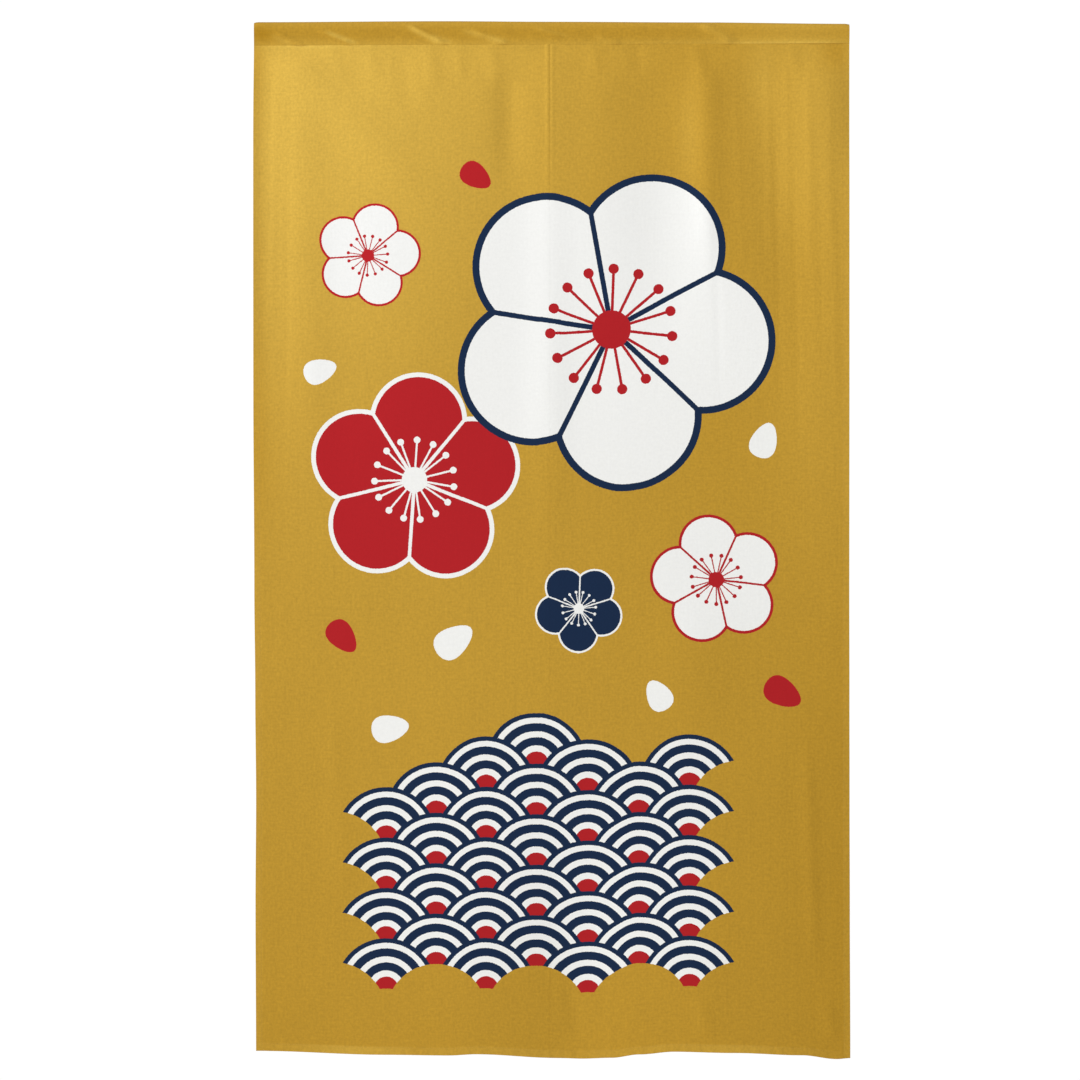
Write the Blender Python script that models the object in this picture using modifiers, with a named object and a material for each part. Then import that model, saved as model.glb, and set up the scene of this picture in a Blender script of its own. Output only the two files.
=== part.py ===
"""Noren curtain: two hemmed cloth panels that hang closed side by side from one rod sleeve.

The origin is the middle of the sleeve's top edge, +Z is up, +X is the viewer's right and the
printed face looks along -Y. Tables and driving sizes are in millimetres, the mesh is in metres.
"""

import math
from collections import namedtuple

import bmesh
import bpy

MM = 0.001

# Cloth: one layer, and the doubled cloth of a hem
CLOTH_THICKNESS = 1.2
HEM_THICKNESS = 2.2
SEAM_GAP = 0.55
WELD_REACH = 0.05

# Rod sleeve: a loop of cloth for a slim rod, stitched shut along its lower edge
SLEEVE_STEPS_ACROSS = 40

# Panels: the slit's place, the hems, and the step between the mesh's rows and columns
SLIT_ACROSS = -2.4
SLIT_WIDTH = 0.6
SIDE_HEM = 10.0
FOOT_HEM = 12.0
HEM_STEP = 1.5
PANEL_COLUMNS = 26
PANEL_ROWS = 34
NOMINAL_DROP = 1476.0

HeadingRow = namedtuple("HeadingRow", "across crown seam")
HEADING_LINE = [
    HeadingRow(-425.0, -0.6, -33.5),
    HeadingRow(-153.0, 0.8, -32.5),
    HeadingRow(0.0, 0.0, -32.0),
    HeadingRow(210.0, -0.9, -31.4),
    HeadingRow(425.0, -2.9, -30.6),
]

SideRow = namedtuple("SideRow", "drop left right")
SIDE_LINE = [
    SideRow(0.0, -425.0, 425.0),
    SideRow(170.0, -426.0, 425.0),
    SideRow(530.0, -426.0, 425.0),
    SideRow(810.0, -424.6, 425.0),
    SideRow(960.0, -423.3, 425.4),
    SideRow(1112.0, -422.1, 425.7),
    SideRow(1260.0, -423.0, 426.1),
    SideRow(NOMINAL_DROP, -422.2, 426.8),
]

FootRow = namedtuple("FootRow", "across drop")
FOOT_LINE = [
    FootRow(-421.0, 1469.6),
    FootRow(-240.0, 1475.2),
    FootRow(-147.0, 1476.0),
    FootRow(-108.0, 1474.2),
    FootRow(12.0, 1480.2),
    FootRow(44.0, 1481.0),
    FootRow(86.0, 1479.6),
    FootRow(125.0, 1474.6),
    FootRow(175.0, 1470.5),
    FootRow(262.0, 1472.4),
    FootRow(357.0, 1476.0),
    FootRow(408.0, 1481.8),
    FootRow(427.0, 1480.6),
]

# Half the sleeve's depth at each share of the way from its top fold down to its seam: a narrow arch
# where it hung over a slim rod, and then straight taut cloth.
SleeveRow = namedtuple("SleeveRow", "share half_depth")
SLEEVE_PROFILE = [
    SleeveRow(0.0, 0.0),
    SleeveRow(0.03, 2.1),
    SleeveRow(0.09, 3.7),
    SleeveRow(0.18, 4.8),
    SleeveRow(0.3, 5.3),
    SleeveRow(0.46, 4.9),
    SleeveRow(0.64, 3.9),
    SleeveRow(0.82, 2.8),
    SleeveRow(1.0, 1.6),
]

# A fold is a long soft swelling of the cloth. It runs from its head to its foot, half_width is
# where it has fallen to three fifths of its rise, and a rise towards the viewer is positive. A fold
# with no ease_out goes on past the hem.
FoldRow = namedtuple("FoldRow", "head_drop head foot_drop foot half_width rise ease_in ease_out")
FOLDS = {
    "left shoulder": FoldRow(35, -216, 900, -200, 100, 7.0, 90, 500),
    "left lip": FoldRow(40, -442, 620, -442, 18, 5.0, 60, 350),
    "left band": FoldRow(40, -366, 820, -336, 26, 3.2, 30, 400),
    "corner drag": FoldRow(38, -372, 290, -164, 30, 2.6, 30, 140),
    "slit trough": FoldRow(64, -62, 270, -60, 14, -3.0, 40, 110),
    "slit ridge": FoldRow(35, -2, 1000, -2, 20, 2.0, 30, 500),
    "inner right ridge": FoldRow(40, 56, 520, 60, 34, 2.0, 60, 300),
    "inner right hollow": FoldRow(40, 160, 560, 165, 36, -3.4, 60, 300),
    "right ridge": FoldRow(45, 219, 420, 227, 14, 2.7, 50, 180),
    "outer right hollow": FoldRow(42, 286, 520, 368, 34, -3.8, 60, 260),
    "right shoulder": FoldRow(40, 384, 820, 392, 28, 3.4, 50, 400),
    "right edge turn": FoldRow(40, 442, 250, 442, 16, -2.4, 60, 120),
    "right lip": FoldRow(150, 446, 780, 446, 26, 3.2, 100, 300),
    "low swelling": FoldRow(780, 199, 1090, 199, 45, 2.4, 120, 150),
    "middle belly": FoldRow(300, 30, 1350, 20, 150, 4.0, 350, 400),
    "foot left hollow": FoldRow(700, -330, 1600, -330, 80, -2.0, 600, 0),
    "foot left ridge": FoldRow(900, -110, 1600, -110, 52, 1.6, 500, 0),
    "foot middle hollow": FoldRow(1000, 30, 1600, 34, 48, -4.2, 420, 0),
    "foot right ridge": FoldRow(950, 215, 1600, 215, 62, 3.0, 450, 0),
    "foot right turn": FoldRow(700, 475, 1600, 475, 72, -8.0, 500, 0),
}

Finish = namedtuple("Finish", "colour roughness")
SLEEVE_FINISH = Finish((0.509, 0.294, 0.034), 0.82)
LEFT_FINISH = Finish((0.608, 0.376, 0.065), 0.80)
RIGHT_FINISH = Finish((0.558, 0.328, 0.046), 0.80)

COLLECTION_NAME = "noren_curtain"


def smooth_step(value):
    """Eases from 0 to 1 while the value goes from 0 to 1."""
    held = min(max(value, 0.0), 1.0)
    return held * held * (3.0 - 2.0 * held)


def read_line(rows, place, column):
    """Reads a column of a table between its rows, eased so that the line has no corners."""
    key = rows[0]._fields[0]
    if place <= getattr(rows[0], key):
        return getattr(rows[0], column)
    for first, second in zip(rows, rows[1:]):
        start = getattr(first, key)
        end = getattr(second, key)
        if place <= end:
            share = smooth_step((place - start) / (end - start))
            low = getattr(first, column)
            return low + (getattr(second, column) - low) * share
    return getattr(rows[-1], column)


def fold_rise(fold, across, drop):
    """How far one fold brings the cloth towards the viewer at this place."""
    if drop <= fold.head_drop or drop >= fold.foot_drop:
        return 0.0
    run = (drop - fold.head_drop) / (fold.foot_drop - fold.head_drop)
    centre = fold.head + (fold.foot - fold.head) * run
    offset = (across - centre) / fold.half_width
    grown = smooth_step((drop - fold.head_drop) / fold.ease_in)
    kept = 1.0
    if fold.ease_out > 0:
        kept = smooth_step((fold.foot_drop - drop) / fold.ease_out)
    return fold.rise * math.exp(-0.5 * offset * offset) * grown * kept


def cloth_rise(across, drop):
    """How far all the folds together bring the cloth towards the viewer."""
    return sum(fold_rise(fold, across, drop) for fold in FOLDS.values())


def sleeve_section(crown, seam):
    """The sleeve's outer outline as (depth, height) points: up the back, over the top and down the front."""
    heights = [crown + (seam - crown) * row.share for row in SLEEVE_PROFILE]
    back = [(row.half_depth, height) for row, height in zip(SLEEVE_PROFILE, heights)][::-1]
    front = [(-depth, height) for depth, height in reversed(back[:-1])]
    return back + front + [back[0]]


def grid_mesh(name, columns, rows, place):
    """A grid of faces whose point at each column and row is put where the place function says."""
    shape = bmesh.new()
    bmesh.ops.create_grid(shape, x_segments=columns, y_segments=rows, size=0.5)
    for point in shape.verts:
        column = round((point.co.x + 0.5) * columns)
        row = round((0.5 - point.co.y) * rows)
        point.co = [value * MM for value in place(column, row)]
    mesh = bpy.data.meshes.new(name)
    shape.to_mesh(mesh)
    shape.free()
    return mesh


def cloth_material(name, finish):
    """A plain woven cloth in the photographed colour."""
    material = bpy.data.materials.new(name)
    material.use_nodes = True
    shader = material.node_tree.nodes["Principled BSDF"]
    shader.inputs["Base Color"].default_value = (*finish.colour, 1.0)
    shader.inputs["Roughness"].default_value = finish.roughness
    shader.inputs["Metallic"].default_value = 0.0
    return material


def add_cloth(name, mesh, finish, collection):
    """An object for a sheet of cloth, smooth shaded."""
    mesh.shade_smooth()
    mesh.materials.append(cloth_material(name + "_cloth", finish))
    cloth = bpy.data.objects.new(name, mesh)
    collection.objects.link(cloth)
    return cloth


def close_loop(mesh):
    """Welds a grid's first row to its last where they lie on each other."""
    shape = bmesh.new()
    shape.from_mesh(mesh)
    bmesh.ops.remove_doubles(shape, verts=shape.verts, dist=WELD_REACH * MM)
    shape.to_mesh(mesh)
    shape.free()


def add_thickness(cloth, thickness):
    """Gives a sheet its thickness behind the face that shows."""
    shell = cloth.modifiers.new("cloth_thickness", "SOLIDIFY")
    shell.thickness = thickness * MM
    shell.offset = -1.0
    shell.use_even_offset = True
    return shell


def add_sleeve(collection):
    """The heading strip: it goes over the rod and is stitched to itself along the seam."""
    section_points = len(sleeve_section(0.0, HEADING_LINE[0].seam))
    half_width = HEADING_LINE[-1].across

    def place(column, row):
        across = -half_width + 2 * half_width * column / SLEEVE_STEPS_ACROSS
        crown = read_line(HEADING_LINE, across, "crown")
        seam = read_line(HEADING_LINE, across, "seam")
        depth, height = sleeve_section(crown, seam)[row]
        return across, depth, height

    mesh = grid_mesh("heading_sleeve", SLEEVE_STEPS_ACROSS, section_points - 1, place)
    close_loop(mesh)
    sleeve = add_cloth("heading_sleeve", mesh, SLEEVE_FINISH, collection)
    add_thickness(sleeve, CLOTH_THICKNESS)


def spaced(length, count, first_hem, last_hem):
    """Distances along a length: close steps at each hem's fold line and even steps between them."""
    start = [0.0]
    if first_hem > 0:
        start += [first_hem, first_hem + HEM_STEP]
    end = [length - last_hem - HEM_STEP, length - last_hem, length]
    first = start[-1]
    between = count - len(start) - len(end) + 2
    middle = [first + (end[0] - first) * step / between for step in range(1, between)]
    return start + middle + end


def panel_sides(on_left, drop):
    """Where a panel starts and ends across the curtain at this drop."""
    if on_left:
        return read_line(SIDE_LINE, drop, "left"), SLIT_ACROSS - SLIT_WIDTH / 2
    return SLIT_ACROSS + SLIT_WIDTH / 2, read_line(SIDE_LINE, drop, "right")


def hem_points(mesh):
    """The mesh's points that lie in a hem: the outer two columns and the last two rows."""
    lines = PANEL_COLUMNS + 1
    found = []
    for index in range(len(mesh.vertices)):
        column = index % lines
        row = PANEL_ROWS - index // lines
        side = column < 2 or column > PANEL_COLUMNS - 2
        if side or row > PANEL_ROWS - 2:
            found.append(index)
    return found


def add_panel(name, on_left, finish, collection):
    """One panel from the seam to its foot, with both sides and the foot hemmed to the back."""

    def place(column, row):
        guess = NOMINAL_DROP * row / PANEL_ROWS
        left, right = panel_sides(on_left, guess)
        across = left + spaced(right - left, PANEL_COLUMNS, SIDE_HEM, SIDE_HEM)[column]
        top = SEAM_GAP - read_line(HEADING_LINE, across, "seam")
        length = read_line(FOOT_LINE, across, "drop") - top
        drop = top + spaced(length, PANEL_ROWS, 0.0, FOOT_HEM)[row]
        front = -cloth_rise(across, drop) - CLOTH_THICKNESS / 2
        return across, front, -drop

    mesh = grid_mesh(name, PANEL_COLUMNS, PANEL_ROWS, place)
    panel = add_cloth(name, mesh, finish, collection)
    hems = panel.vertex_groups.new(name="hems")
    hems.add(hem_points(mesh), 1.0, "REPLACE")
    shell = add_thickness(panel, HEM_THICKNESS)
    shell.thickness_vertex_group = CLOTH_THICKNESS / HEM_THICKNESS
    shell.vertex_group = hems.name


def build():
    """Clears the scene and builds the curtain."""
    for old in list(bpy.data.objects):
        bpy.data.objects.remove(old, do_unlink=True)
    collection = bpy.data.collections.new(COLLECTION_NAME)
    bpy.context.scene.collection.children.link(collection)
    add_sleeve(collection)
    add_panel("left_panel", True, LEFT_FINISH, collection)
    add_panel("right_panel", False, RIGHT_FINISH, collection)


build()
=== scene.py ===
"""The looks of a noren curtain: two printed cloth panels that hang closed from one rod sleeve.

The frame's origin is the middle of the sleeve's top edge, +Z is up, +X is the viewer's right and
the printed face looks along -Y. Tables and fields are in millimetres unless they say otherwise, a
drop is measured down from the sleeve's top, and the meshes are in metres.
"""

import logging
import math
from dataclasses import dataclass
from enum import Enum
from typing import NamedTuple, Sequence

import bpy
import numpy as np
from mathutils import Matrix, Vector


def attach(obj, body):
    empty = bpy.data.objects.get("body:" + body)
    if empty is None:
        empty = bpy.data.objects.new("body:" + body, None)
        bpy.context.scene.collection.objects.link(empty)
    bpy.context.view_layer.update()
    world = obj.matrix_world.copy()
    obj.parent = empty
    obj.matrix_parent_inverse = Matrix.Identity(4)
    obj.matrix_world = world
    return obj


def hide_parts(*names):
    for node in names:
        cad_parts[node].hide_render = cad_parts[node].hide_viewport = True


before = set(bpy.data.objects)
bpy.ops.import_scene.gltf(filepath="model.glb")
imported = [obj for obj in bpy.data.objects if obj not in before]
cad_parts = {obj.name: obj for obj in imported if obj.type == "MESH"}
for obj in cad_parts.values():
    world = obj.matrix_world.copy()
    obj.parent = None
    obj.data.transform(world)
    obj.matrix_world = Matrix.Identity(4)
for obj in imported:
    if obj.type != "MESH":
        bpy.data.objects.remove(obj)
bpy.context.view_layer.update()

LOG = logging.getLogger("noren_curtain")

MM = 0.001
UV_NAME = "cloth_in_metres"
# The mesh attribute that holds the light and shade painted into the cloth's colour
PAINTED_LIGHT_NAME = "painted_daylight"

MATH = "ShaderNodeMath"
VECTOR = "ShaderNodeVectorMath"
MIX = "ShaderNodeMix"
NOISE = "ShaderNodeTexNoise"
SPLIT = "ShaderNodeSeparateXYZ"
JOIN = "ShaderNodeCombineXYZ"
RAMP = "ShaderNodeValToRGB"
PRINCIPLED = "ShaderNodeBsdfPrincipled"

Array = np.ndarray
Tree = bpy.types.NodeTree
Socket = bpy.types.NodeSocket


# How the curtain hangs


class HeadingRow(NamedTuple):
    """How high the sleeve's top fold and its seam lie at one place across."""

    across: float
    crown: float
    seam: float


class SideRow(NamedTuple):
    """Where the curtain's outer edges lie at one drop."""

    drop: float
    left: float
    right: float


class FootRow(NamedTuple):
    """How far down the foot reaches at one place across."""

    across: float
    drop: float


class SleeveRow(NamedTuple):
    """Half the sleeve's depth at a share of the way from its top fold to its seam."""

    share: float
    half_depth: float


class SlitRow(NamedTuple):
    """How far the lips on each side of the slit stand proud of the cloth beside them."""

    drop: float
    left: float
    right: float


# A crease fades out over this share of its length, and runs on past its ends by part of the fade
CREASE_FADE = 0.35
CREASE_OVERRUN = 0.4


@dataclass(frozen=True)
class Fold:
    """A long soft swelling of the cloth from its head to its foot; towards the viewer is positive."""

    head_drop: float
    head: float
    foot_drop: float
    foot: float
    half_width: float
    rise: float
    ease_in: float
    ease_out: float

    def at(self, across: Array, drop: Array) -> Array:
        """How far this fold brings the cloth towards the viewer.

        Args:
            across: places across the curtain.
            drop: drops of the same points.

        Returns:
            The rise at each point.
        """
        run = (drop - self.head_drop) / (self.foot_drop - self.head_drop)
        offset = (across - self.head - (self.foot - self.head) * run) / self.half_width
        grown = smooth_step((drop - self.head_drop) / self.ease_in)
        kept = smooth_step((self.foot_drop - drop) / self.ease_out) if self.ease_out > 0 else 1.0
        return self.rise * np.exp(-0.5 * offset**2) * grown * kept


@dataclass(frozen=True)
class Crease:
    """A short straight crease between two points; a rise towards the viewer is positive. Used as a painted
    highlight, its rise is the painted light it adds.
    """

    head: tuple[float, float]
    foot: tuple[float, float]
    half_width: float
    rise: float

    def at(self, across: Array, drop: Array) -> Array:
        """How far this crease brings the cloth towards the viewer.

        Args:
            across: places across the curtain.
            drop: drops of the same points.

        Returns:
            The rise at each point, faded out at both ends.
        """
        run = (self.foot[0] - self.head[0], self.foot[1] - self.head[1])
        length = math.hypot(*run)
        from_head = (across - self.head[0], drop - self.head[1])
        along = (from_head[0] * run[0] + from_head[1] * run[1]) / length**2
        aside = (from_head[0] * run[1] - from_head[1] * run[0]) / length / self.half_width
        faded = 1.0
        for from_end in (along, 1.0 - along):
            faded = faded * smooth_step(from_end / CREASE_FADE + CREASE_OVERRUN)
        return self.rise * np.exp(-0.5 * aside**2) * faded


@dataclass(frozen=True)
class PaintedLightPatch:
    """A soft patch of painted light, standing in for more daylight shining through the dyed cloth, or of
    painted shade if it is negative.
    """

    across: float
    drop: float
    half_width: float
    half_height: float
    strength: float

    def at(self, across: Array, drop: Array) -> Array:
        """How much painted light this patch adds.

        Args:
            across: places across the curtain.
            drop: drops of the same points.

        Returns:
            The painted light at each point, from 0 for none to 1 for the fully lit copy of the dye.
        """
        aside = (across - self.across) / self.half_width
        below = (drop - self.drop) / self.half_height
        return self.strength * np.exp(-0.5 * (aside**2 + below**2))


Marks = tuple[Fold | Crease | PaintedLightPatch, ...]


def total(marks: Marks, across: Array, drop: Array) -> Array:
    """Adds up what some marks do to the cloth: how far it rises, or how much painted light it gets.

    Args:
        marks: the marks.
        across: places across the curtain.
        drop: drops of the same points.

    Returns:
        The sum at each point.
    """
    return sum(mark.at(across, drop) for mark in marks)


HEADING_LINE = (
    HeadingRow(-425.0, -0.6, -33.5),
    HeadingRow(-153.0, 0.8, -32.5),
    HeadingRow(0.0, 0.0, -32.0),
    HeadingRow(210.0, -0.9, -31.4),
    HeadingRow(425.0, -2.9, -30.6),
)
SIDE_LINE = (
    SideRow(0.0, -425.0, 425.0),
    SideRow(170.0, -426.0, 425.0),
    SideRow(530.0, -426.0, 425.0),
    SideRow(810.0, -424.6, 425.0),
    SideRow(960.0, -423.3, 425.4),
    SideRow(1112.0, -422.1, 425.7),
    SideRow(1260.0, -423.0, 426.1),
    SideRow(1476.0, -422.2, 426.8),
)
FOOT_LINE = (
    FootRow(-421.0, 1469.6),
    FootRow(-240.0, 1475.2),
    FootRow(-147.0, 1476.0),
    FootRow(-108.0, 1474.2),
    FootRow(12.0, 1480.2),
    FootRow(44.0, 1481.0),
    FootRow(86.0, 1479.6),
    FootRow(125.0, 1474.6),
    FootRow(175.0, 1470.5),
    FootRow(262.0, 1472.4),
    FootRow(357.0, 1476.0),
    FootRow(408.0, 1481.8),
    FootRow(427.0, 1480.6),
)
SLEEVE_PROFILE = (
    SleeveRow(0.0, 0.0),
    SleeveRow(0.03, 2.1),
    SleeveRow(0.09, 3.7),
    SleeveRow(0.18, 4.8),
    SleeveRow(0.3, 5.3),
    SleeveRow(0.46, 4.9),
    SleeveRow(0.64, 3.9),
    SleeveRow(0.82, 2.8),
    SleeveRow(1.0, 1.6),
)
# The slit shows as a fine line between two soft lips under the heading, and hardly at all lower down
SLIT_LINE = (
    SlitRow(34.0, 0.7, 0.5),
    SlitRow(120.0, 0.6, 0.4),
    SlitRow(300.0, 0.0, 0.0),
    SlitRow(1480.0, 0.0, 0.0),
)
SLIT_ACROSS = -2.4
# Painted light and shade in the cloth's colour: a glow as if daylight from a window fell on the back of the
# cloth at the upper left, and a little at the right, painted shade along the left edge, and small brighter
# and darker patches
PANEL_PAINTED_LIGHT = (
    PaintedLightPatch(-420.0, 70.0, 330.0, 340.0, 1.0),
    PaintedLightPatch(380.0, 130.0, 70.0, 250.0, 0.4),
    PaintedLightPatch(-434.0, 50.0, 14.0, 80.0, -0.5),
    PaintedLightPatch(-434.0, 330.0, 14.0, 230.0, -0.42),
    PaintedLightPatch(-220.0, 930.0, 420.0, 340.0, 0.2),
    PaintedLightPatch(-345.0, 35.0, 40.0, 2.5, 0.3),
    PaintedLightPatch(299.0, 75.0, 16.0, 45.0, 0.16),
    PaintedLightPatch(196.0, 165.0, 12.0, 50.0, 0.18),
    PaintedLightPatch(355.0, 350.0, 40.0, 80.0, -0.12),
    PaintedLightPatch(405.0, 42.0, 16.0, 18.0, -0.3),
    PaintedLightPatch(430.0, 1250.0, 60.0, 300.0, -0.06),
    PaintedLightPatch(-428.0, 40.0, 24.0, 40.0, -0.25),
    PaintedLightPatch(-428.0, 610.0, 24.0, 90.0, -0.16),
    PaintedLightPatch(400.0, 600.0, 60.0, 160.0, 0.12),
)
# Painted light on the doubled cloth of the foot's hem: brighter in uneven patches, a little darker in a few
FOOT_PAINTED_LIGHT = (
    PaintedLightPatch(-60.0, 1475.0, 300.0, 90.0, 0.18),
    PaintedLightPatch(-287.0, 1475.0, 45.0, 90.0, 0.3),
    PaintedLightPatch(265.0, 1475.0, 50.0, 90.0, 0.22),
    PaintedLightPatch(-190.0, 1475.0, 12.0, 90.0, -0.08),
    PaintedLightPatch(30.0, 1475.0, 16.0, 90.0, -0.1),
    PaintedLightPatch(150.0, 1475.0, 10.0, 90.0, 0.08),
)
# Painted light and shade on the doubled sleeve: little of the painted daylight, more towards the right,
# painted shade at its left end and in a band across its middle, and painted highlights on its top fold and
# by the seam
SLEEVE_PAINTED_LIGHT = (
    PaintedLightPatch(0.0, 17.0, 3000.0, 90.0, 0.12),
    PaintedLightPatch(345.0, 17.0, 75.0, 90.0, 0.26),
    PaintedLightPatch(-416.0, 22.0, 15.0, 14.0, -0.28),
    PaintedLightPatch(0.0, -3.0, 3000.0, 5.0, 0.25),
    PaintedLightPatch(0.0, 16.0, 3000.0, 8.0, -0.1),
    PaintedLightPatch(0.0, 34.0, 3000.0, 6.0, 0.3),
)
# Painted highlights along the sleeve's drag lines, its brightest places: the last number is the painted
# light that one adds
SLEEVE_PAINTED_STREAKS = (
    Crease((-400, 20), (-372, 32), 2.6, 0.2),
    Crease((-322, 15), (-280, 31), 2.4, 0.68),
    Crease((-204, 8), (-158, 31), 2.8, 0.7),
    Crease((-172, 21), (-142, 31), 3.4, 0.34),
    Crease((-126, 13), (-66, 30), 3.0, 0.4),
    Crease((-90, 26), (-64, 28), 4.0, 0.2),
    Crease((-22, 9), (24, 21), 2.0, 0.16),
    Crease((60, 20), (80, 29), 2.0, 0.12),
    Crease((214, 4), (258, 28), 5.0, 0.16),
    Crease((262, 30.5), (404, 30.2), 1.9, 0.5),
)

LONG_FOLDS = (
    Fold(35, -216, 900, -200, 100, 7.0, 90, 500),
    Fold(40, -442, 620, -442, 18, 5.0, 60, 350),
    Fold(40, -366, 820, -336, 26, 3.2, 30, 400),
    Fold(38, -372, 290, -164, 30, 2.6, 30, 140),
    Fold(64, -62, 270, -60, 14, -3.0, 40, 110),
    Fold(35, -2, 1000, -2, 20, 2.0, 30, 500),
    Fold(40, 56, 520, 60, 34, 2.0, 60, 300),
    Fold(40, 160, 560, 165, 36, -3.4, 60, 300),
    Fold(45, 219, 420, 227, 14, 2.7, 50, 180),
    Fold(42, 286, 520, 368, 34, -3.8, 60, 260),
    Fold(40, 384, 820, 392, 28, 3.4, 50, 400),
    Fold(40, 442, 250, 442, 16, -2.4, 60, 120),
    Fold(150, 446, 780, 446, 26, 3.2, 100, 300),
    Fold(780, 199, 1090, 199, 45, 2.4, 120, 150),
    Fold(300, 30, 1350, 20, 150, 4.0, 350, 400),
    Fold(700, -330, 1600, -330, 80, -2.0, 600, 0),
    Fold(900, -110, 1600, -110, 52, 1.6, 500, 0),
    Fold(1000, 30, 1600, 34, 48, -4.2, 420, 0),
    Fold(950, 215, 1600, 215, 62, 3.0, 450, 0),
    Fold(700, 475, 1600, 475, 72, -8.0, 500, 0),
)
# Short puckers that the seam draws in the single cloth just under it, and narrow upright ripples
PANEL_CREASES = (
    Crease((-178, 33), (-168, 92), 7.0, 1.0),
    Crease((-136, 33), (-128, 80), 6.0, 0.8),
    Crease((-88, 33), (-78, 88), 8.0, 1.1),
    Crease((-216, 40), (-202, 126), 10.0, -1.1),
    Crease((-262, 34), (-250, 84), 7.0, 0.7),
    Crease((-318, 34), (-296, 84), 6.0, 0.6),
    Crease((60, 33), (64, 74), 8.0, 0.9),
    Crease((122, 33), (124, 70), 7.0, -0.9),
    Crease((206, 33), (214, 80), 7.0, 1.2),
    Crease((344, 33), (348, 74), 6.0, 0.9),
    Crease((308, 60), (312, 330), 2.4, 0.48),
    Crease((320, 150), (326, 520), 2.6, -0.48),
    Crease((334, 50), (338, 300), 2.4, 0.48),
    Crease((347, 230), (352, 600), 3.0, -0.4),
    Crease((366, 60), (369, 380), 2.4, 0.55),
    Crease((381, 180), (386, 470), 3.0, -0.4),
    Crease((396, 90), (398, 330), 2.4, 0.5),
    Crease((402, 260), (406, 540), 2.8, 0.35),
    Crease((262, 90), (272, 330), 3.4, 0.2),
    Crease((232, 200), (240, 520), 3.4, -0.3),
    Crease((-392, 60), (-400, 420), 3.4, 0.5),
    Crease((-372, 80), (-380, 560), 3.4, -0.4),
    Crease((364, 1040), (374, 1330), 7.0, 0.9),
    Crease((26, 1380), (36, 1440), 9.0, -0.8),
    Crease((212, 1395), (222, 1450), 9.0, 0.9),
    Crease((392, 1400), (402, 1452), 8.0, 0.9),
    Crease((-310, 1000), (-300, 1240), 12.0, 0.8),
)
# Diagonal drag lines in the sleeve's front, where the cloth hangs from its top fold
SLEEVE_CREASES = (
    Crease((-392, 16), (-352, 36), 2.4, 1.6),
    Crease((-330, 14), (-286, 31), 2.4, 2.2),
    Crease((-204, 5), (-152, 31), 2.4, 2.0),
    Crease((-110, 15), (-64, 31), 2.6, 2.2),
    Crease((-20, 9), (12, 23), 3.0, 1.1),
    Crease((66, 18), (98, 31), 3.0, 1.1),
    Crease((214, 4), (258, 28), 4.5, 2.2),
    Crease((258, 25), (412, 30), 3.0, 1.2),
    Crease((-250, 12), (-216, 25), 3.6, -0.8),
    Crease((-60, 8), (-32, 22), 4.0, -0.7),
    Crease((130, 8), (166, 23), 4.5, -0.7),
)


def smooth_step(value: Array) -> Array:
    """Eases from 0 to 1 while the value goes from 0 to 1."""
    held = np.clip(value, 0.0, 1.0)
    return held * held * (3.0 - 2.0 * held)


def hump(offset: Array, half_width: float) -> Array:
    """Falls from 1 at no offset to 0 on both sides."""
    return np.exp(-((offset / half_width) ** 2))


def read_line(rows: Sequence[NamedTuple], place: Array, column: str) -> Array:
    """Reads a column of a table between its rows, eased so that the line has no corners.

    Args:
        rows: the table, in the order of its first column.
        place: where to read it, in the units of the first column.
        column: the name of the column to read.

    Returns:
        The value at each place.
    """
    keys = np.array([row[0] for row in rows])
    values = np.array([getattr(row, column) for row in rows])
    first = np.clip(np.searchsorted(keys, place, side="right") - 1, 0, len(keys) - 2)
    share = smooth_step((place - keys[first]) / (keys[first + 1] - keys[first]))
    return values[first] + (values[first + 1] - values[first]) * share


# Meshes


def add_object(name: str, data: bpy.types.ID) -> bpy.types.Object:
    """Makes an object of a mesh, a lamp or a camera and puts it in the scene.

    Args:
        name: the object's name.
        data: the mesh, lamp or camera.

    Returns:
        The new object.
    """
    added = bpy.data.objects.new(name, data)
    bpy.context.scene.collection.objects.link(added)
    return added


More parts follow.
